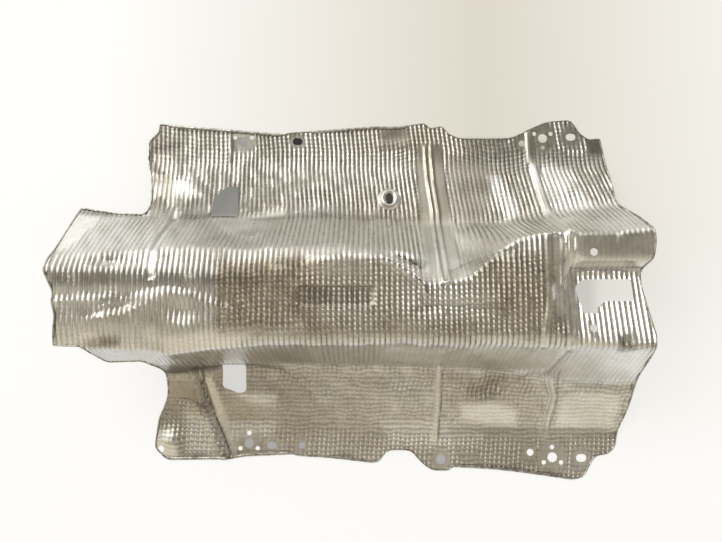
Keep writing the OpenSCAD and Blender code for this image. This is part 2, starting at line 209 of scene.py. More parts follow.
# Smooth places without corrugation, as [strength, outline].
CALM = [
    (0.9, [(43, 257), (84, 257), (84, 232), (42, 232)]),
    (1.0, [(358, 240), (390, 240), (388, 210), (361, 213)]),
    (1.0, [(-208, 112), (-153, 113), (-124, 119), (-101, 128), (-97, 100), (-118, 80), (-142, 74),
           (-177, 88)]),
    (0.85, [(288, 74), (394, 74), (394, 41), (390, 28), (290, 27), (284, 42)]),
    (1.0, [(-345, -80), (-260, -77), (-242, -83), (-272, -96), (-345, -97)]),
    (1.0, [(-277, -94), (-252, -98), (-184, -100), (-188, -114), (-218, -117), (-267, -121)]),
    (1.0, [(-267, -123), (-234, -118), (-218, -122), (-214, -140), (-208, -156), (-255, -150), (-269, -139)]),
    (1.0, FOLD_SIDE),
    (0.6, [(-282, -192), (-258, -206), (-254, -235), (-272, -242), (-292, -217)]),
    (0.7, [(-143, -82), (-41, -74), (-47, -102), (-96, -102), (-128, -98), (-151, -96)]),
    (0.8, [(36, -76), (285, -76), (303, -107), (145, -106), (38, -95)]),
    (0.55, [(291, -76), (380, -76), (398, -121), (303, -125)]),
    (0.5, [(-303, 182), (-266, 180), (-254, 160), (-262, 140), (-300, 145)]),
    (0.6, [(-60, 44), (20, 46), (30, 20), (-70, 20)]),
    (0.9, [(-242, -83), (-142, -79), (-151, -95), (-268, -92)]),
    (0.55, [(-245, -62), (-171, -50), (-115, -50), (-151, -71), (-199, -80), (-237, -83)]),
    (0.9, [(-400, 116), (-365, 112), (-372, 74), (-385, 52), (-400, 52)]),
    (0.5, RIGHT_FIELD),
    (0.7, DENT_FOOT),
    (0.15, [(294, -16), (384, -16), (388, -70), (296, -70)]),
    (0.5, [(143, 206), (205, 200), (215, 170), (190, 110), (160, 96), (143, 120)]),
    (0.7, [(272, 108), (330, 106), (322, 94), (272, 92)]),
    (0.6, [(-190, -146), (-128, -146), (-120, -176), (-200, -176)]),
]
# How far a smooth place fades out over its outline.
CALM_FADE = 5


def smooth(v):
    u = np.clip(v, 0, 1)
    return u * u * (3 - 2 * u)


def lookup(x, stations):
    return np.interp(x, [s[0] for s in stations], [s[1] for s in stations])


def soft_lookup(x, stations, reach=9):
    """The stations joined by straight lines, with their corners eased over the reach."""
    steps = np.linspace(-reach, reach, 7)
    return sum(lookup(x + s, stations) for s in steps) / len(steps)


def to_line(px, py, points):
    """Distance of each point to an open path, and 1 to the right of it or -1 to its left."""
    best = np.full(np.shape(px), 1e9)
    side = np.ones(np.shape(px))
    for (ax, ay), (bx, by) in zip(points, points[1:]):
        dx, dy = bx - ax, by - ay
        t = np.clip(((px - ax) * dx + (py - ay) * dy) / (dx * dx + dy * dy), 0, 1)
        d = np.hypot(px - ax - t * dx, py - ay - t * dy)
        side = np.where(d < best, np.where((py - ay) * dx - (px - ax) * dy > 0, -1.0, 1.0), side)
        best = np.minimum(best, d)
    return best, side


def line_distance(px, py, points):
    return to_line(px, py, points)[0]


def ramp(v, start, end):
    """0 at the start and 1 at the end, eased at both."""
    return smooth((v - start) / (end - start))


def within(px, py, outline, fade):
    """1 well inside a closed outline, 0 well outside it, and a half on it."""
    odd = np.zeros(np.shape(px), bool)
    for (ax, ay), (bx, by) in zip(outline, outline[1:] + outline[:1]):
        if ay != by:
            odd ^= ((ay > py) != (by > py)) & (px < ax + (py - ay) * (bx - ax) / (by - ay))
    d = line_distance(px, py, outline + outline[:1])
    return smooth(0.5 + np.where(odd, d, -d) / (2 * fade))


def spot(x, y, cx, cy, rx, ry, turn=0.0):
    """1 at the middle of an ellipse, 0 from its rim."""
    a = math.radians(turn)
    u = (x - cx) * math.cos(a) + (y - cy) * math.sin(a)
    v = (y - cy) * math.cos(a) - (x - cx) * math.sin(a)
    return 1 - smooth(np.hypot(u / rx, v / ry))


def ripples(x, y, longest, shortest, count, seed):
    """Smooth random unevenness, about 1 high."""
    r = np.random.default_rng(seed)
    out = 0.0
    for _ in range(count):
        wave = math.exp(r.uniform(math.log(shortest), math.log(longest)))
        a, p = r.uniform(0, math.pi), r.uniform(0, 2 * math.pi)
        out = out + np.sin(2 * math.pi / wave * (x * math.cos(a) + y * math.sin(a)) + p)
    return out / math.sqrt(count)


def pressed(x, y):
    """Height of everything pressed, dented or folded into the sheet."""
    out = np.zeros(np.shape(x))
    for height, half, points in BEADS:
        out += height * (1 - smooth((line_distance(x, y, points) / half - 0.35) / 0.65))
    for height, half, apart, points in DOUBLES:
        d = np.abs(line_distance(x, y, points) - apart / 2)
        out += height * (1 - smooth(d / half))
    for height, half, points in CREASES:
        out += height * np.exp(-(line_distance(x, y, points) / half) ** 1.2 * 1.6)
    for height, reach, points in STEPS:
        d, side = to_line(x, y, points)
        out += height / 2 * side * smooth(d / 5) * np.exp(-d / reach)
    for cx, cy, rx, ry, turn, depth in HOLLOWS:
        out -= depth * spot(x, y, cx, cy, rx, ry, turn)
    cx, cy, length, width, depth = RECESS
    qx = np.abs(x - cx) - length / 2 + RECESS_R
    qy = np.abs(y - cy) - width / 2 + RECESS_R
    inside = RECESS_R - np.hypot(np.maximum(qx, 0), np.maximum(qy, 0)) - np.minimum(np.maximum(qx, qy), 0)
    return out - depth * smooth(inside / 2 + 0.5)


def calmness(x, y):
    """1 where the corrugation is pressed flat, 0 where it is full."""
    out = np.zeros(np.shape(x))
    left = np.interp(y, [10, 72, 119, 166, 222], [90, 93, 96, 93, 95])
    right = np.interp(y, [10, 72, 119, 166, 197], [148, 147, 147, 143, 139])
    band = smooth((x - left) / 6) * smooth((right - x) / 6) * ramp(y, 8, 18) * ramp(y, 236, 224)
    out = np.maximum(out, band)
    for strength, outline in CALM:
        out = np.maximum(out, strength * within(x, y, outline, CALM_FADE))
    for _, half, points in BEADS:
        out = np.maximum(out, 0.8 * (1 - smooth((line_distance(x, y, points) / half - 0.6) / 0.5)))
    for _, half, apart, points in DOUBLES:
        out = np.maximum(out, 0.8 * (1 - smooth((line_distance(x, y, points) - apart / 2) / half)))
    lands = [(hx, hy, 20) for hx, hy, _ in LARGE_HOLES] + [(hx, hy, 9) for hx, hy in FLANGE_HOLES]
    lands += [(hx, hy, 12) for hx, hy in SLOTS] + [(TAB_HOLE[0], TAB_HOLE[1], 12)]
    for hx, hy, r in lands:
        out = np.maximum(out, 1 - smooth((np.hypot(x - hx, y - hy) - r) / 3))
    return out


def guide_at(j, x):
    stations = GUIDES[j][1]
    y = soft_lookup(x, [(s[0], s[1]) for s in stations])
    z = soft_lookup(x, [(s[0], s[2]) for s in stations])
    return np.stack([y, z], -1)


def section_rows():
    """Where each row of the mesh lies: (guide before, guide after, share) or (guide, share of its bend)."""
    rows = []
    last = len(GUIDES) - 1
    for j in range(last + 1):
        if 0 < j < last:
            rows += [("bend", j, k / BLEND_STEPS) for k in range(BLEND_STEPS + 1)]
        else:
            rows.append(("bend", j, 0.5))
        if j < last:
            n = ROWS_BETWEEN[j]
            rows += [("run", j, (k + 1) / (n + 1)) for k in range(n)]
    return rows


def section(x, rows):
    """(y, z) of the smooth sheet at every column and row. x is an array of columns by rows."""
    last = len(GUIDES) - 1
    out = np.zeros(x.shape + (2,))
    for r, (kind, j, share) in enumerate(rows):
        xr = x[:, r]
        here = guide_at(j, xr)

        def bend_ends(g):
            p = guide_at(g, xr)
            before = p - guide_at(g - 1, xr) if g > 0 else None
            after = guide_at(g + 1, xr) - p if g < last else None
            if before is None or after is None:
                return p, p
            lb = np.linalg.norm(before, axis=-1, keepdims=True)
            la = np.linalg.norm(after, axis=-1, keepdims=True)
            cut = np.minimum(GUIDES[g][0], 0.42 * np.minimum(lb, la))
            return p - before / lb * cut, p + after / la * cut

        start, end = bend_ends(j)
        if kind == "bend":
            out[:, r] = start * (1 - share) ** 2 + 2 * here * share * (1 - share) + end * share ** 2
        else:
            out[:, r] = end * (1 - share) + bend_ends(j + 1)[0] * share
    return out


def sheet_grid():
    """The skins of the sheet before it is trimmed: x, smooth position, unit normal, wave and uv."""
    rows = section_rows()
    x0 = np.arange(FIRST_RIDGE, PAST_LAST_RIDGE, PITCH / len(RIDGE))
    x0 = x0[:len(x0) - 1 + len(x0) % 2]
    frac = np.zeros((2, len(rows)))
    for r, (kind, j, share) in enumerate(rows):
        u = j + share if kind == "run" else j
        frac[0, r] = np.clip((FRONT_ROOT - u) / FRONT_ROOT, 0, 1)
        frac[1, r] = np.clip((u - BACK_ROOT) / (len(GUIDES) - 1 - BACK_ROOT), 0, 1)
    x = x0[:, None] - frac[0] * lookup(x0, LEAN_FRONT)[:, None] - frac[1] * lookup(x0, LEAN_BACK)[:, None]
    yz = section(x, rows)
    d = np.gradient(yz, axis=1)
    d /= np.linalg.norm(d, axis=-1, keepdims=True)
    normal = np.stack([np.zeros(x.shape), -d[..., 1], d[..., 0]], -1)
    base = np.stack([x, yz[..., 0], yz[..., 1]], -1)
    run = np.concatenate([np.zeros((len(x0), 1)),
                          np.cumsum(np.linalg.norm(np.diff(yz, axis=1), axis=-1), axis=1)], 1)
    wave = np.array(RIDGE)[np.arange(len(x0)) % len(RIDGE)][:, None]
    return x0, base, normal, wave, run


def window_panel(x, y):
    """1 on the bright panel beside the rear window."""
    return ramp(x, 290, 300) * ramp(y, -8, -14) * ramp(y, -80, -72)


def ridge_share(x, y, z):
    """Height of the ridges as a share of the usual height."""
    steep = ramp(z, 30, 42) * ramp(z, 116, 108) * ramp(y, 0, -20)
    shoulder = ramp(z, 30, 42) * ramp(y, 20, 40) * ramp(x, 60, 0)
    facet = within(x, y, [(146, 104), (212, 66), (190, 48), (152, 16)], 6)
    left = ramp(x, -165, -185) * ramp(z, 112, 120)
    share = (1 + 0.28 * ripples(x, y, 60, 16, 12, 8)) * (1 - 0.35 * steep)
    share *= (1 + 0.4 * shoulder + 0.7 * facet + 0.25 * left) * (0.7 + 0.3 * ramp(z, 3, 15))
    return share * (1 - 0.25 * ramp(x, 130, 190) * ramp(y, 60, 90)) * (1 + 0.2 * window_panel(x, y))


def grid_faces(columns, rows, first=0):
    """Faces of a grid of points that are numbered column by column."""
    i, j = np.meshgrid(np.arange(columns - 1), np.arange(rows - 1), indexing="ij")
    a = first + i * rows + j
    return np.stack([a, a + rows, a + rows + 1, a + 1], -1).reshape(-1, 4).tolist()


def build_sheet():
    """The sheet before it is trimmed, and its surface without the ridges."""
    x0, base, normal, wave, run = sheet_grid()
    x, y, z = np.moveaxis(base, -1, 0)
    calm = calmness(x, y)
    uneven = 1.4 * ripples(x, y, 190, 70, 10, 3) + 0.55 * ripples(x, y, 60, 24, 14, 5)
    form = pressed(x, y) + uneven * (1 - calm) * (0.25 + 0.75 * ramp(z, 3, 15))
    plain = base + normal * form[..., None]
    top = plain + normal * (0.5 * WAVE_H * wave * ridge_share(x, y, z) * (1 - calm))[..., None]
    # Nothing reaches below the floor that the flanges lie on.
    top[..., 2] = np.maximum(top[..., 2], SHEET_T + 0.05 + 0.5 * WAVE_H * (1 + wave) * (1 - calm))
    d = np.gradient(plain, axis=1)
    d[..., 0] = 0
    d /= np.linalg.norm(d, axis=-1, keepdims=True)
    inward = np.stack([np.zeros(x.shape), d[..., 2], -d[..., 1]], -1)
    low = (top + inward * SHEET_T)[::2]
    low[..., 2] = np.maximum(low[..., 2], SHEET_FLOOR)
    nc, nr = x.shape
    nl = len(low)

    def up(i, j):
        return i * nr + j

    def down(i, j):
        return (nc + i) * nr + j

    faces = grid_faces(nc, nr) + [f[:1] + f[:0:-1] for f in grid_faces(nl, nr, nc * nr)]
    for k in range(nr - 1):
        faces.append((up(0, k), up(0, k + 1), down(0, k + 1), down(0, k)))
        faces.append((up(nc - 1, k + 1), up(nc - 1, k), down(nl - 1, k), down(nl - 1, k + 1)))
    for k in range(nl - 1):
        faces.append((up(2 * k + 2, 0), up(2 * k + 1, 0), up(2 * k, 0), down(k, 0), down(k + 1, 0)))
        faces.append((up(2 * k, nr - 1), up(2 * k + 1, nr - 1), up(2 * k + 2, nr - 1), down(k + 1, nr - 1),
                      down(k, nr - 1)))
    mesh = new_mesh("sheet", np.concatenate([top.reshape(-1, 3), low.reshape(-1, 3)]), faces)
    uv = np.stack([np.broadcast_to(x0[:, None], x.shape), run], -1)
    uv = np.concatenate([uv.reshape(-1, 2), uv[::2].reshape(-1, 2)]) * MM
    loop_vert = np.empty(len(mesh.loops), int)
    mesh.loops.foreach_get("vertex_index", loop_vert)
    mesh.uv_layers.new(name="sheet").data.foreach_set("uv", uv[loop_vert].ravel())
    return mesh, plain


def corner_path(path):
    """Points of a closed path whose corners are rounded by their own radius."""
    out = []
    n = len(path)
    for k in range(n):
        p = np.array(path[k][:2], float)
        u = np.array(path[k - 1][:2]) - p
        v = np.array(path[(k + 1) % n][:2]) - p
        lu, lv = np.linalg.norm(u), np.linalg.norm(v)
        cut = min(path[k][2], 0.45 * lu, 0.45 * lv)
        for s in np.linspace(0, 1, 5):
            out.append(p + u / lu * cut * (1 - s) ** 2 + v / lv * cut * s ** 2)
    return np.array(out)


def spaced(path, step, closed=True):
    """The same path with points about one step apart."""
    pts = np.vstack([path, path[:1]]) if closed else np.array(path, float)
    length = np.concatenate([[0], np.cumsum(np.linalg.norm(np.diff(pts, axis=0), axis=1))])
    n = max(3, int(round(length[-1] / step)))
    at = np.linspace(0, length[-1], n, endpoint=False) if closed else np.linspace(0, length[-1], n)
    return np.stack([np.interp(at, length, pts[:, k]) for k in range(pts.shape[1])], -1)


def new_mesh(name, verts, faces, unit=MM):
    mesh = bpy.data.meshes.new(name)
    mesh.from_pydata((np.asarray(verts, float) * unit).tolist(), [], faces)
    return mesh


def add_object(name, data, location=(0, 0, 0)):
    obj = bpy.data.objects.new(name, data)
    obj.location = location
    scene.collection.objects.link(obj)
    return obj


def prism(name, path, bottom, top):
    """A closed solid over a path in the plane."""
    path = np.asarray(path)
    area = np.sum(path[:, 0] * np.roll(path[:, 1], -1) - np.roll(path[:, 0], -1) * path[:, 1])
    if area < 0:
        path = path[::-1]
    n = len(path)
    verts = [(*p, z) for z in (bottom, top) for p in path]
    faces = [tuple(range(n))[::-1], tuple(range(n, 2 * n))]
    faces += [(k, (k + 1) % n, n + (k + 1) % n, n + k) for k in range(n)]
    return new_mesh(name, verts, faces)


def ring_faces(rings, n):
    """Faces of a tube that closes on itself, made of rings with n points each."""
    faces = []
    for k in range(rings):
        for m in range(n):
            a, b = k * n + m, k * n + (m + 1) % n
            c, d = ((k + 1) % rings) * n + (m + 1) % n, ((k + 1) % rings) * n + m
            faces.append((a, b, c, d))
    return faces


def circle(cx, cy, d, n=32):
    a = np.linspace(0, 2 * math.pi, n, endpoint=False)
    return np.stack([cx + d / 2 * np.cos(a), cy + d / 2 * np.sin(a)], -1)


def slot_path(cx, cy, length, width):
    a = np.linspace(-math.pi / 2, math.pi / 2, 13)
    reach, r = (length - width) / 2, width / 2
    right = np.stack([cx + reach + r * np.cos(a), cy + r * np.sin(a)], -1)
    left = np.stack([cx - reach - r * np.cos(a), cy - r * np.sin(a)], -1)
    return np.vstack([right, left])


def joined(name, meshes):
    """Several meshes as one."""
    verts, faces = [], []
    for m in meshes:
        start = len(verts)
        verts += [tuple(v.co) for v in m.vertices]
        faces += [tuple(start + k for k in p.vertices) for p in m.polygons]
    return new_mesh(name, verts, faces, 1)


def after_boolean(mesh, other, operation):
    """The mesh after a boolean with another one."""
    a = add_object("work", mesh)
    b = add_object("tool", other)
    mod = a.modifiers.new("boolean", "BOOLEAN")
    mod.object = b
    mod.operation = operation
    mod.solver = "MANIFOLD"
    deps = bpy.context.evaluated_depsgraph_get()
    out = bpy.data.meshes.new_from_object(a.evaluated_get(deps))
    for o in (a, b):
        bpy.data.objects.remove(o)
    return out


def place(name, mesh, material, smooth_angle=62):
    """A finished piece of the part."""
    mesh.name = name
    mesh.polygons.foreach_set("use_smooth", [True] * len(mesh.polygons))
    mesh.set_sharp_from_angle(angle=math.radians(smooth_angle))
    mesh.materials.clear()
    mesh.materials.append(material)
    obj = add_object(name, mesh)
    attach(obj, "root")
    return obj


# Materials
def fill(node, inputs):
    """Links or sets the inputs of a node by their name or number."""
    for key, value in inputs.items():
        socket = node.inputs[key]
        if isinstance(value, Value):
            value.tree.links.new(value.socket, socket)
        elif isinstance(value, tuple) and len(value) < len(socket.default_value):
            socket.default_value = (*value, 1)
        else:
            socket.default_value = value


def add_node(tree, kind, inputs, output=0, **settings):
    """The value that a new node gives."""
    node = tree.nodes.new("ShaderNode" + kind)
    for name, setting in settings.items():
        setattr(node, name, setting)
    fill(node, inputs)
    return Value(tree, node.outputs[output])


class Value:
    """A value inside a material. Sums written with it become nodes."""

    def __init__(self, tree, socket):
        self.tree = tree
        self.socket = socket

    def math(self, operation, other=None):
        inputs = {0: self} if other is None else {0: self, 1: other}
        return add_node(self.tree, "Math", inputs, operation=operation)

    def __add__(self, other):
        return self.math("ADD", other)

    def __sub__(self, other):
        return self.math("SUBTRACT", other)

    def __rsub__(self, other):
        return add_node(self.tree, "Math", {0: other, 1: self}, operation="SUBTRACT")

    def __mul__(self, other):
        return self.math("MULTIPLY", other)

    def __pow__(self, other):
        return self.math("POWER", other)

    def ranged(self, a, b, c=0.0, d=1.0):
        """a to b of this value as c to d."""
        return add_node(self.tree, "MapRange", {0: self, 1: a, 2: b, 3: c, 4: d})

    def other(self, name):
        """Another output of the same node."""
        return Value(self.tree, self.socket.node.outputs[name])

    def parts(self, kind="SeparateXYZ"):
        first = add_node(self.tree, kind, {0: self})
        return [Value(self.tree, socket) for socket in first.socket.node.outputs]


def noise(coords, scale, detail, roughness=0.5):
    inputs = {"Vector": coords, "Scale": scale, "Detail": detail, "Roughness": roughness}
    return add_node(coords.tree, "TexNoise", inputs, "Fac")


def mixed(factor, a, b):
    """The colour a where the factor is 0 and b where it is 1."""
    return add_node(factor.tree, "Mix", {"Factor": factor, "A": a, "B": b}, "Result", data_type="RGBA")


def node_material(name):
    """A new material, its shader and its coordinates."""
    mat = bpy.data.materials.new(name)
    mat.use_nodes = True
    tree = mat.node_tree
    return mat, tree.nodes["Principled BSDF"], add_node(tree, "TexCoord", {}, "Object")


BRIGHT_METAL = (0.86, 0.85, 0.81)
DULL_METAL = (0.80, 0.785, 0.735)
GREY_FILM = (0.47, 0.455, 0.41)
HEAT_STAIN = (0.36, 0.30, 0.215)
DIRT_AND_SHADE = (0.16, 0.145, 0.12)
DUST_AND_SHADE = (0.12, 0.112, 0.095)


def aluminium():
    mat, shader, coords = node_material("embossed_aluminium")
    tree = coords.tree
    across, along, _ = add_node(tree, "UVMap", {}, uv_map="sheet").parts()
    mask = add_node(tree, "Attribute", {}, "Color", attribute_name="mask")
    stain, calm, dark = mask.parts("SeparateColor")
    wear = add_node(tree, "Attribute", {}, "Color", attribute_name="wear")
    grime_and_shade, breadth, film = wear.parts("SeparateColor")
    nub_share = wear.other("Alpha")

    # Colour: bright metal, grey film, brown heat stain, dark specks of dirt, and painted shade from the dark
    # marks along folds, creases and hollows.
    metal = mixed(noise(coords, 14, 3).ranged(0.35, 0.7), BRIGHT_METAL, DULL_METAL)
    metal = mixed(film, metal, GREY_FILM)
    stained = stain * noise(coords, 260, 3, 0.6).ranged(0.3, 0.7, 0.55, 1.25)
    metal = mixed(stained.math("MINIMUM", 1.0), metal, HEAT_STAIN)
    # Painted shade: the dark mask darkens folds, creases and hollows in the same dark colour as the specks.
    dirt_and_shade = noise(coords, 620, 2, 0.6).ranged(0.56, 0.72, 0.0, 0.5) + dark * 0.8
    metal = mixed(dirt_and_shade.math("MINIMUM", 0.85), metal, DIRT_AND_SHADE)
    # The cross emboss along each ridge.
    wobble = (noise(coords, 42, 2) - 0.5) * 1.5
    nub = ((along.math("DIVIDE", NUB_PITCH * MM) + wobble) * (2 * math.pi)).math("COSINE")
    # Dust and painted shade darken the valleys between the ridges and the gaps of the cross emboss.
    turn = (across - FIRST_RIDGE * MM) * (2 * math.pi / (PITCH * MM))
    valley = ((1.0 - turn.math("COSINE")) * 0.5) ** breadth.ranged(0.0, 1.0, 2.6, 0.45)
    gap = (1.0 - nub) * 0.24
    dust_and_shade = (valley * grime_and_shade).math("MAXIMUM", gap * nub_share)
    dust_and_shade = dust_and_shade * noise(coords, 120, 3, 0.6).ranged(0.3, 0.7, 0.7, 1.2) * (1.0 - calm * 0.8)
    metal = mixed(dust_and_shade.math("MINIMUM", 0.92), metal, DUST_AND_SHADE)
    rough = noise(coords, 90, 3).ranged(0.3, 0.7, 0.26, 0.42) + stain * 0.14
    # Relief: the cross emboss and small crumples.
    height = (nub * (nub_share * 0.19) + noise(coords, 210, 4, 0.65) * 0.62) * (1.0 - calm)
    bump = add_node(tree, "Bump", {"Distance": MM, "Strength": 0.7, "Height": height})
    fill(shader, {"Base Color": metal, "Metallic": 1.0, "Roughness": rough, "Normal": bump})
    return mat


def rim_metal():
    mat, shader, coords = node_material("rim_metal")
    grain = noise(coords, 180, 3, 0.6)
    metal = mixed(grain.ranged(0.35, 0.65), (0.56, 0.55, 0.51), (0.20, 0.19, 0.16))
    fill(shader, {"Base Color": metal, "Metallic": 1.0, "Roughness": grain.ranged(0.3, 0.7, 0.3, 0.5)})
    return mat


def fold_shadow():
    mat, shader, _ = node_material("fold_shadow")
    fill(shader, {"Base Color": (0.05, 0.045, 0.035), "Roughness": 0.7})
    return mat


# Painted shade on the floor seen through the holes of the flanges: its brightness there, as [hole, share].
HOLE_SHADES = [(SLOTS[3], 0.06), (LARGE_HOLES[2][:2], 0.5), (LARGE_HOLES[3][:2], 0.42), (SLOTS[2], 0.42),
               (FLANGE_HOLES[2], 0.42), (TAB_HOLE, 0.45)]


def floor_material():
    mat, _, coords = node_material("pale_floor")
    tree = coords.tree
    x, y, _ = coords.parts()
    # Painted shade: the floor turns darker and beige towards the back and the middle.
    side = 1.0 - ((x - 0.2) * 1.7).math("ABSOLUTE").math("MINIMUM", 1.0)
    colour = mixed(y.ranged(-0.25, 0.1) * side, (1.0, 0.995, 0.98), (0.74, 0.70, 0.61))
    # Painted shade: the floor under the raised panels and the crest is darkened in its colour, as in the
    # object's own shade.
    under = y.ranged(0.085, 0.125) * y.ranged(0.245, 0.205) * x.ranged(-0.285, -0.255) * x.ranged(0.37, 0.27)
    middle = y.ranged(0.06, 0.03) * y.ranged(-0.17, -0.14) * x.ranged(-0.25, -0.22) * x.ranged(0.372, 0.352)
    colour = mixed(middle * 0.25, colour, (0.2, 0.2, 0.2))
    light = 1.0 - under * (1.0 - x.ranged(-0.02, 0.03, 0.34, 0.1))
    for (hx, hy), share in HOLE_SHADES:
        inputs = {0: coords, 1: (hx * MM, hy * MM, 0)}
        away = add_node(tree, "VectorMath", inputs, "Value", operation="DISTANCE")
        light = light * away.ranged(0.009, 0.012, share, 1.0)
    colour = add_node(tree, "VectorMath", {0: colour, "Scale": light}, operation="SCALE")
    diffuse = add_node(tree, "BsdfDiffuse", {"Color": colour})
    glow = add_node(tree, "Emission", {"Color": colour})
    camera_ray = add_node(tree, "LightPath", {}, "Is Camera Ray")
    mirrored = camera_ray.other("Is Glossy Ray").math("MAXIMUM", camera_ray.other("Is Transmission Ray"))
    seen = (camera_ray * 0.8).math("MAXIMUM", mirrored)
    surface = add_node(tree, "MixShader", {0: seen, 1: diffuse, 2: glow})
    fill(tree.nodes["Material Output"], {"Surface": surface})
    return mat


# Camera at the photograph's viewing angle, which for a sheet lying down is from above.
TILT = math.radians(5.5)
SENSOR_W = 36
# Focal length and width of the picture in pixels.
FOCAL_PX = 585
PICTURE_PX = 722
cam_data = bpy.data.cameras.new("camera")
cam_data.sensor_width = SENSOR_W
cam_data.lens = SENSOR_W * FOCAL_PX / PICTURE_PX
camera = add_object("camera", cam_data, (0.012, -0.048, 0.874))
camera.rotation_euler = (TILT, 0, 0)
scene.camera = camera

# The sheet, trimmed and pierced
OUTLINE_STEP = 2.5
# How far the trimmed edge strays, and how it goes on from point to point.
JAG = 0.55
JAG_TURN = 2.1
sheet_mesh, plain = build_sheet()
outline = spaced(corner_path(OUTLINE), OUTLINE_STEP)
jag = JAG * np.sin(np.arange(len(outline)) * JAG_TURN) * rng.uniform(0.2, 1.0, len(outline))
away = outline - np.roll(outline, 1, 0)
away = np.stack([-away[:, 1], away[:, 0]], -1) / np.linalg.norm(away, axis=1, keepdims=True)
outward = np.sign(np.sum(away * (outline - outline.mean(0)), 1))
ragged = outline - away * np.abs(jag)[:, None] * outward[:, None]
# Bottom and top of the tools that trim and pierce the sheet.
TOOL = (-20, 190)
sheet_mesh = after_boolean(sheet_mesh, prism("outline", ragged, *TOOL), "INTERSECT")
paths = [corner_path(window) for window in WINDOWS]
for hx, hy, start in LARGE_HOLES:
    paths.append(circle(hx, hy, LARGE_D))
    for k in range(3):
        a = math.radians(start + 120 * k)
        paths.append(circle(hx + SMALL_PCD / 2 * math.cos(a), hy + SMALL_PCD / 2 * math.sin(a), SMALL_D, 20))
paths += [circle(*hole, PLAIN_D) for hole in FLANGE_HOLES + CREST_HOLES]
paths += [slot_path(*hole, *SLOT) for hole in SLOTS]
paths += [circle(*TAB_HOLE, LARGE_D), circle(*BOSS, BOSS_CUT_D)]
tools = joined("tools", [prism("tool", path, *TOOL) for path in paths])
sheet_mesh = after_boolean(sheet_mesh, tools, "DIFFERENCE")


# Painted shade: dark marks along folds, creases and the inner edges of hems, as [strength, half width,
# points].
MARKS = [
    (1.3, 3.0, NOTCH_FOLD),
    (1.0, 2.4, [(94, 10), (96, -3)]),
    (0.6, 8, [(-313, 222), (-296, 225), (-276, 228), (-268, 231)]),
    (0.4, 8, [(-303, 175), (-286, 174), (-267, 175)]),
    (0.6, 5, [(-261, 108), (-265, 80), (-264, 57), (-263, 36), (-258, 17)]),
    (0.45, 8, [(188, 41), (207, 41), (226, 31), (252, 22)]),
    (0.45, 7, [(79, -26), (107, -21), (154, -22), (190, -21)]),
    (1.6, 3.0, LEFT_FOLD),
    (0.45, 9, [(-262, -108), (-188, -108)]),
    (0.4, 12, [(-318, -8), (-292, -12)]),
    (0.45, 9, [(-318, -66), (-302, -66)]),
    (0.6, 2.5, BEAD_FOOT),
    (0.6, 2.5, [(282, -80), (275, -110), (286, -146), (281, -174), (278, -197)]),
    (0.6, 2.5, [(289, -110), (294, -146), (289, -174), (285, -197)]),
    (0.45, 6, [(142, -194), (229, -198), (310, -199), (385, -202)]),
    (0.5, 6, [(303, -125), (341, -131), (381, -134), (404, -132)]),
    (0.6, 3, [(360, -70), (390, -68)]),
    (0.6, 2, SHOULDER_FOLD),
    (0.6, 2, [(209, 50), (226, 33), (253, 20)]),
    (0.5, 2, [(41, 41), (58, 33), (72, 25), (92, 8)]),
    (0.7, 2, [(-285, 256), (-112, 241)]),
    (0.7, 2, [(-60, 244), (28, 252), (72, 252)]),
    (0.6, 2, [(-262, -234), (-180, -233), (-160, -229), (-90, -227)]),
    (0.6, 2, [(-30, -231), (22, -237)]),
    (0.6, 2, [(145, -244), (205, -247), (255, -252), (315, -261)]),
    (0.5, 4, [(286, 29), (384, 30)]),
    (0.5, 3, [(163, -150), (199, -152), (219, -134), (247, -114)]),
    (0.35, 5, [(-207, -6), (-190, -12), (-175, -20)]),
]
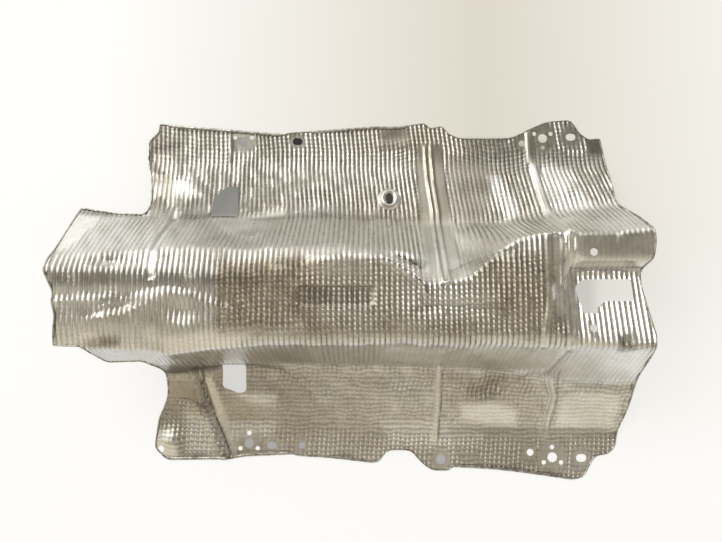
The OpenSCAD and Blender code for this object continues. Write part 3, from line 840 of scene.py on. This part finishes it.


# Patches of tone by layer, as [strength, fade, outline]. A bare patch is cleaner and brighter than the metal
# round it; some are clean metal and some are painted highlights, as on the far left of the back wall and at
# the glints beside the rear window.
PATCHES = {
    "bare_and_highlight": [
        # Painted highlight: the far left of the back wall is brightened.
        (1.0, 12, [(-400, 120), (-262, 118), (-262, 52), (-400, 38)]),
        (1.0, 6, [(-268, 180), (-246, 178), (-228, 150), (-246, 140), (-270, 150)]),
        (0.9, 5, [(200, 180), (222, 180), (246, 116), (224, 108)]),
        (0.8, 8, [(258, 205), (285, 205), (330, 190), (345, 120), (290, 118)]),
        (0.9, 5, [(120, 62), (145, 92), (172, 78), (204, 64), (180, 40), (152, 16), (140, 14)]),
        (0.8, 4, [(36, 48), (60, 37), (79, 28), (98, 13), (96, -2), (88, 6), (76, 15), (56, 26), (36, 37)]),
        (0.9, 5, [(300, 92), (392, 104), (392, 76), (330, 76)]),
        # Painted highlights: two glints beside the rear window.
        (0.9, 3, [(255, 4), (263, 8), (264, -10), (254, -15)]),
        (0.9, 3, [(282, 9), (291, 11), (294, -12), (284, -15)]),
        (0.7, 8, [(-400, 5), (-262, 5), (-262, -18), (-400, -18)]),
        (0.6, 6, [(-385, -40), (-250, -44), (-250, -72), (-385, -72)]),
        (0.4, 6, [(-245, -59), (-171, -48), (-60, -46), (-60, -66), (-151, -71), (-199, -80), (-237, -83)]),
        (0.25, 4, [(-342, -78), (-260, -76), (-242, -82), (-277, -95), (-346, -96)]),
        (0.5, 6, [(36, -74), (380, -76), (398, -121), (303, -125), (145, -106), (37, -95)]),
        (0.6, 3, FOLD_SIDE),
        (0.9, 8, [(-245, -169), (-202, -180), (-200, -234), (-241, -237)]),
        (0.9, 6, [(-183, -138), (-151, -144), (-108, -144), (-112, -165), (-146, -157)]),
        (0.9, 6, [(-180, -186), (-110, -184), (-116, -206), (-176, -208)]),
        (1.0, 6, [(-284, -192), (-258, -204), (-253, -236), (-272, -242), (-292, -217)]),
        (0.7, 8, RIGHT_FIELD),
        (0.8, 8, DENT_FOOT),
        (0.9, 6, [(40, -183), (120, -184), (191, -198), (190, -218), (120, -222), (56, -217)]),
        (1.0, 5, [(294, -14), (318, -22), (338, -28), (380, -18), (386, -72), (296, -72)]),
    ],
    "film": [
        (0.6, 6, [(100, 112), (148, 112), (148, 40), (140, 12), (98, 12)]),
        (0.35, 8, [(143, 212), (236, 196), (228, 150), (213, 100), (170, 92), (143, 110)]),
        (0.5, 5, [(-208, 112), (-124, 119), (-101, 128), (-97, 100), (-118, 80), (-142, 74), (-177, 88)]),
        (0.5, 6, [(-242, -83), (-142, -79), (-60, -76), (-47, -100), (-151, -96), (-268, -92)]),
        (1.0, 4, [(-267, -125), (-236, -122), (-218, -155), (-212, -166), (-255, -152), (-267, -139)]),
        (0.4, 8, [(-190, -150), (-120, -150), (-30, -160), (-30, -182), (-196, -180)]),
        (0.5, 4, [(-340, -79), (-260, -77), (-242, -83), (-277, -94), (-345, -95)]),
        (0.35, 10, [(150, -196), (392, -200), (386, -240), (320, -270), (150, -250)]),
        (0.4, 6, BACK_TAB),
    ],
    "stain": [
        (0.3, 4, [(296, 78), (394, 78), (394, 43), (296, 43)]),
        (0.5, 6, BACK_TAB),
        (0.5, 3, [(-172, 10), (-161, 10), (-160, -52), (-171, -52)]),
        (0.6, 5, [(-343, -64), (-316, -57), (-297, -57), (-296, -72), (-336, -76)]),
        (0.5, 8, [(-206, 112), (-100, 128), (-96, 142), (-120, 142), (-160, 128), (-206, 122)]),
        (0.5, 12, [(170, 44), (262, 56), (262, 20), (150, 14)]),
        (0.75, 7, [(163, -114), (208, -114), (247, -113), (219, -133), (199, -152), (159, -150)]),
        (0.5, 8, [(-206, -106), (-120, -106), (-112, -140), (-190, -142)]),
        (0.5, 10, [(-20, -112), (60, -112), (60, -140), (-20, -140)]),
    ],
    # Painted shade: dark patches in hollows, bends, the recess of the crest and under the root of the left
    # wall.
    "dark": [
        (0.75, 1.5, [(358, 237), (385, 238), (387, 212), (362, 214)]),
        (0.6, 4, [(-404, 126), (-378, 123), (-353, 120), (-353, 112), (-404, 114)]),
        (0.6, 3, [(-70, 4.5), (28, 4.5), (28, -20.5), (-70, -20.5)]),
        (0.85, 4, [(-277, -98), (-252, -100), (-190, -102), (-190, -112), (-218, -113), (-265, -116)]),
        (0.8, 4, [(340, -58), (355, -58), (362, -76), (343, -79)]),
        (0.6, 7, [(-385, 23), (-262, 28), (-150, 22), (-110, 24), (-110, 6), (-262, 5), (-385, 6)]),
        (0.35, 8, [(-345, 40), (-300, 56), (-296, 36), (-330, 28)]),
        (0.3, 6, [(145, 46), (200, 60), (262, 70), (262, 44), (210, 34), (150, 30)]),
    ],
}


# How much of each layer the bright patches take away: clean metal and painted highlights.
BARE_AND_HIGHLIGHT = {"stain": 1.0, "film": 1.0, "grime_and_shade": 0.5}


def set_colours(mesh, name, values):
    mesh.color_attributes.new(name, "FLOAT_COLOR", "POINT").data.foreach_set("color", values)


def paint(mesh):
    """Masks per vertex: stain, calm, dark for painted shade; and the valley darkening, both soiling and
    painted shade, its breadth, grey film, nubs.
    """
    co = np.empty(len(mesh.vertices) * 3)
    mesh.vertices.foreach_get("co", co)
    x, y, z = (co.reshape(-1, 3) / MM).T
    calm = calmness(x, y)
    # Parts of the sheet, each 1 where it is full.
    crest = ramp(z, 118, 126) * ramp(y, 54, 34) * ramp(y, -66, -52) * ramp(x, 296, 280)
    middle = crest * ramp(x, -180, -166)
    bevel = ramp(z, 112, 118) * (1 - crest)
    wall = ramp(z, 34, 44) * ramp(z, 118, 110)
    rear = wall * ramp(y, 20, 40)
    low = ramp(y, -90, -106) * (1 - wall)
    back = ramp(y, 96, 112) * (1 - wall)
    left = ramp(x, -180, -220)
    panel = window_panel(x, y)
    right = spot(x, y, 150, -62, 70, 20)

    stain = 0.16 + 0.10 * ripples(x, y, 160, 50, 8, 21) + 0.10 * crest
    stain += middle * (0.36 + 0.3 * ramp(x, -20, -80) - 0.55 * spot(x, y, 120, -5, 80, 50)
                       - 0.1 * spot(x, y, 150, -20, 70, 20))
    stain += low * (0.22 + 0.22 * ramp(x, 40, -120) - 0.18 * ramp(x, 240, 300))
    stain += 0.05 * ramp(y, -185, -199) - 0.1 * spot(x, y, -60, -232, 80, 30)
    stain += 0.14 * spot(x, y, *RECESS[:2], 60, 18) + 0.25 * back * ramp(x, -40, 20)
    stain -= 0.5 * ramp(x, 300, 310) * ramp(y, -14, -20) * ramp(y, -72, -66)
    stain = stain * (1 - 0.9 * rear) + 0.12 * middle * ramp(x, 150, 180) + 0.1 * right

    # Painted shade: dark spots and marks along folds and creases.
    dark = 0.6 * spot(x, y, 135, -176, 4, 4) + 0.6 * spot(x, y, 144, -181, 4, 4)
    for strength, half, points in MARKS:
        dark = np.maximum(dark, strength * (1 - smooth(line_distance(x, y, points) / half)))

    # How dark the valleys get on each part of the sheet, as soiling and painted shade.
    grime_and_shade = (0.70 + 0.26 * ramp(y, 222, 202)) * back + 0.42 * wall + (0.24 - 0.36 * left) * rear
    grime_and_shade += 0.35 * left * (wall - rear) + 0.30 * low + 0.3 * bevel * ramp(y, -40, -50)
    grime_and_shade += 0.15 * right - 0.25 * spot(x, y, 150, -20, 80, 22)
    grime_and_shade += 0.5 * bevel * (1 - 0.6 * left) + 0.58 * crest * (1 - 0.4 * left) * (1 - 0.95 * panel)
    breadth = 0.45 + 0.35 * crest - 0.3 * bevel + 0.22 * back * ramp(x, 40, -20) - 0.5 * panel

    film = back * (0.34 - 0.204 * ramp(x, 100, 160) + 0.35 * ramp(x, 150, 170) * ramp(x, 268, 258)
                   + 0.34 * ramp(x, -60, -120) + 0.75 * calm)
    film += low * (0.3 * ramp(x, -20, -80) * ramp(y, -200, -188) + 0.15 * ramp(x, -100, -160))
    film += 0.04 * crest * (1 - middle) + 0.5 * ramp(x, 296, 306) * ramp(y, 32, 40) * ramp(y, 84, 74)
    nub = 0.25 + 0.75 * middle + 0.75 * low + 0.35 * back

    layers = {"stain": stain, "film": film, "dark": dark, "grime_and_shade": grime_and_shade}
    for name, patches in PATCHES.items():
        for strength, fade, outline in patches:
            share = strength * within(x, y, outline, fade)
            if name == "bare_and_highlight":
                for worn, taken in BARE_AND_HIGHLIGHT.items():
                    layers[worn] = layers[worn] * (1 - share * taken)
            else:
                layers[name] = np.maximum(layers[name], share)
    masks = {"mask": (layers["stain"], calm, layers["dark"], np.ones(len(x))),
             "wear": (layers["grime_and_shade"], breadth, layers["film"], nub)}
    for name, values in masks.items():
        set_colours(mesh, name, np.clip(np.stack(values, -1), 0, 1).ravel())


paint(sheet_mesh)
metal = aluminium()
sheet = place("sheet", sheet_mesh, metal)
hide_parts("heat_shield")

# A height over the whole sheet.
ABOVE = 400


def from_above(tree, x, y):
    """Where a tree of faces is met from above, and the normal there."""
    return tree.ray_cast(Vector((x, y, ABOVE)), Vector((0, 0, -1)))[:2]


# Smooth surface to set the other pieces on.
plain_tree = BVHTree.FromPolygons(plain.reshape(-1, 3).tolist(), grid_faces(*plain.shape[:2]))


def on_sheet(x, y):
    """The point of the smooth surface over a place, and its normal upward."""
    hit, normal = (np.array(v) for v in from_above(plain_tree, x, y))
    return hit, normal if normal[2] > 0 else -normal


# Height of a fold's dark ribbon of painted shadow over the skin, how far its edges reach into it, and the
# step along it.
FOLD_H = 0.22
FOLD_ROOT = 0.3
FOLD_STEP = 1.5
# Tight folds and the inner edges of hems that get a painted shadow line, as [width of the dark line, points].
FOLDS = [
    (2.0, NOTCH_FOLD),
    (1.3, [(41, 41), (58, 33), (72, 25), (92, 8), (95, -2)]),
    (1.0, SHOULDER_FOLD),
    (1.0, [(209, 54), (226, 33), (253, 20)]),
    (2.0, LEFT_FOLD),
    (1.6, [(-254, -151), (-241, -152), (-228, -155), (-217, -162), (-211, -170)]),
    (1.0, [(-149, -100), (-129, -103), (-99, -108), (-78, -127), (-55, -147)]),
    (1.3, [(-270, 254), (-240, 251.5), (-184, 248), (-130, 244.5), (-108, 243)]),
    (1.1, [(-60, 246), (29, 254), (72, 254)]),
    (1.6, [(-378, 121), (-364, 119), (-344, 116)]),
    (1.0, BEAD_FOOT),
    (1.1, [(288, -78), (281, -108), (292, -146), (287, -174), (284, -197)]),
    (1.0, [(277, -90), (269, -112), (280, -146), (275, -174), (273, -197)]),
    (1.1, [(-254, -232), (-227, -230), (-182, -232), (-160, -227), (-90, -226)]),
    (1.1, [(146, -246), (190, -246), (233, -251), (281, -257), (316, -261)]),
    (1.3, [(287, 29), (380, 30)]),
    (1.0, [(340, -76), (352, -79), (372, -74), (388, -71)]),
]


def folds():
    """A thin dark ribbon along each fold, just over the skin of the sheet: a painted shadow in the fold."""
    points_of = [tuple(v.co / MM) for v in sheet_mesh.vertices]
    skin = BVHTree.FromPolygons(points_of, [tuple(p.vertices) for p in sheet_mesh.polygons])
    verts, faces = [], []
    for width, points in FOLDS:
        path = spaced(np.array(points, float), FOLD_STEP, closed=False)
        n = len(path)
        for k, (x, y) in enumerate(path):
            here, up = (Vector(v) for v in on_sheet(x, y))
            here = from_above(skin, x, y)[0] or here
            t = path[min(k + 1, n - 1)] - path[max(k - 1, 0)]
            across = up.cross(Vector((t[0], t[1], 0))).normalized()
            half = width / 2 * min(1, (k + 0.5) / 4, (n - k - 0.5) / 4)
            a = len(verts)
            foot = up * FOLD_ROOT
            verts += [here + across * half - foot, here + up * FOLD_H, here - across * half - foot]
            if k == 0:
                faces.append((a, a + 1, a + 2))
            else:
                faces += [(a - 3, a - 2, a + 1, a), (a - 2, a - 1, a + 2, a + 1), (a - 1, a - 3, a, a + 2)]
        faces.append((a + 2, a + 1, a))
    return new_mesh("folds", verts, faces)


# Folded rim along the whole edge, wider where the edge is a straight hem.
HEMS = [(-280, -107, 1), (-64, 84, 1), (-272, -90, -1), (-33, 26, -1), (145, 318, -1)]
# A hem lies further out than this.
HEM_Y = 225
# Width and height of the rim, and of a hem.
RIM = (2.2, 1.15)
HEM = (4.6, 1.7)
HEM_FROM = 4
RIM_STEP = 3.2
RIM_POINTS = 8
RIM_SINK = 0.1


def rim():
    path = spaced(corner_path(OUTLINE), RIM_STEP)
    n = len(path)
    width = np.full(n, RIM[0])
    for k, (x, y) in enumerate(path):
        for a, b, side in HEMS:
            if a <= x <= b and y * side > HEM_Y:
                width[k] = HEM[0]
    width = sum(np.roll(width, s) for s in range(-1, 2)) / 3
    verts = []
    for k in range(n):
        t = path[(k + 1) % n] - path[k - 1]
        t /= np.linalg.norm(t)
        inward = np.array([t[1], -t[0], 0.0])
        p, normal = on_sheet(*(path[k] + inward[:2] * width[k] * 0.5))
        across = inward - normal * (inward @ normal)
        across /= np.linalg.norm(across)
        high = RIM[1] if width[k] < HEM_FROM else HEM[1]
        for a in np.linspace(0, 2 * math.pi, RIM_POINTS, endpoint=False):
            ca, sa = math.cos(a), math.sin(a)
            u = math.copysign(abs(ca) ** 0.6, ca) * width[k] / 2
            v = math.copysign(abs(sa) ** 0.8, sa) * high
            q = p + across * u + normal * (v - RIM_SINK)
            q[2] = max(q[2], RIM_FLOOR)
            verts.append(q)
    return new_mesh("rim", verts, ring_faces(n, RIM_POINTS))


# Collar pressed up round the hole of the back panel: [half length along x, half length along y, height].
COLLAR = [(17.5, 18, -0.6), (17, 17.5, 0.5), (15.5, 16, 1.2), (13, 14, 3.6), (11.6, 12.8, 5.6),
          (10.6, 12, 6.3), (9.4, 11.2, 6.3), (8.3, 10.6, 5.6), (6.6, 9.9, 4.2), (5.4, 9.3, 3.4),
          (5.2, 9.1, 2.7), (6.2, 9.7, 3.3), (8.0, 10.2, 4.7), (9.6, 10.9, 5.3), (10.8, 12.1, 4.8),
          (12.2, 13.3, 2.8), (14.8, 15.4, 0.2)]
COLLAR_POINTS = 48


def collar():
    p, normal = on_sheet(*BOSS)
    along = np.cross(normal, (1, 0, 0))
    along /= np.linalg.norm(along)
    side = np.cross(along, normal)
    around = np.linspace(0, 2 * math.pi, COLLAR_POINTS, endpoint=False)
    verts = [p + side * a * math.cos(t) + along * b * math.sin(t) + normal * h
             for a, b, h in COLLAR for t in around]
    mesh = new_mesh("collar", verts, ring_faces(len(COLLAR), COLLAR_POINTS))
    mesh.uv_layers.new(name="sheet")
    set_colours(mesh, "mask", (0.1, 1, 0, 1) * len(verts))
    set_colours(mesh, "wear", (0, 0, 0, 0) * len(verts))
    return mesh


place("collar", collar(), metal, 50)
place("rim", rim(), rim_metal())
# The fold ribbons are painted shadow.
place("folds", folds(), fold_shadow())

# Floor, world and lights
FLOOR_HALF = 6.0
corners = [(sx * FLOOR_HALF, sy * FLOOR_HALF, 0) for sx, sy in ((-1, -1), (1, -1), (1, 1), (-1, 1))]
floor_mesh = new_mesh("floor", corners, [(0, 1, 2, 3)], 1)
floor_mesh.materials.append(floor_material())
floor = add_object("floor", floor_mesh)

# Plain studio light from all round: [direction, where it begins and is full as a cosine, colour].
SKY = (0.25, 0.235, 0.205)
LOBES = [
    ((-0.62, 0.70, 0.33), 0.55, 0.98, (1.35, 1.35, 1.32)),
    ((0.0, 1.0, 0.30), 0.60, 0.95, (0.74, 0.74, 0.72)),
    ((0.55, -0.75, 0.35), 0.25, 0.95, (0.52, 0.49, 0.42)),
    ((-0.30, -0.90, 0.30), 0.40, 0.95, (0.20, 0.185, 0.145)),
    ((-0.90, -0.35, 0.40), 0.45, 0.97, (0.36, 0.31, 0.22)),
]


def world_light():
    world = bpy.data.worlds.new("studio")
    scene.world = world
    world.use_nodes = True
    tree = world.node_tree
    coords = add_node(tree, "TexCoord", {}, "Generated")
    total = SKY
    for direction, begin, full, colour in LOBES:
        inputs = {0: coords, 1: Vector(direction).normalized()}
        dot = add_node(tree, "VectorMath", inputs, "Value", operation="DOT_PRODUCT")
        fade = add_node(tree, "MapRange", {0: dot, 1: begin, 2: full}, interpolation_type="SMOOTHSTEP")
        lit = add_node(tree, "VectorMath", {0: colour, "Scale": fade}, operation="SCALE")
        total = add_node(tree, "VectorMath", {0: lit, 1: total}, operation="ADD")
    ground = tree.nodes["Background"]
    fill(ground, {"Color": total})
    seen = add_node(tree, "Background", {"Color": (1, 0.99, 0.97)})
    camera_ray = add_node(tree, "LightPath", {}, "Is Camera Ray")
    share = add_node(tree, "MixShader", {0: camera_ray, 1: Value(tree, ground.outputs[0]), 2: seen})
    fill(tree.nodes["World Output"], {"Surface": share})


world_light()
key_data = bpy.data.lights.new("key", "AREA")
key_data.shape = "RECTANGLE"
key_data.size = 1.6
key_data.size_y = 0.8
key_data.energy = 26
key_data.color = (1, 0.98, 0.95)
key = add_object("key", key_data, (-1.6, 1.5, 2.0))
KEY_AIM = Vector((0, 0.1, 0))
key.rotation_euler = (KEY_AIM - key.location).to_track_quat("-Z", "Y").to_euler()

scene.view_settings.view_transform = "Standard"
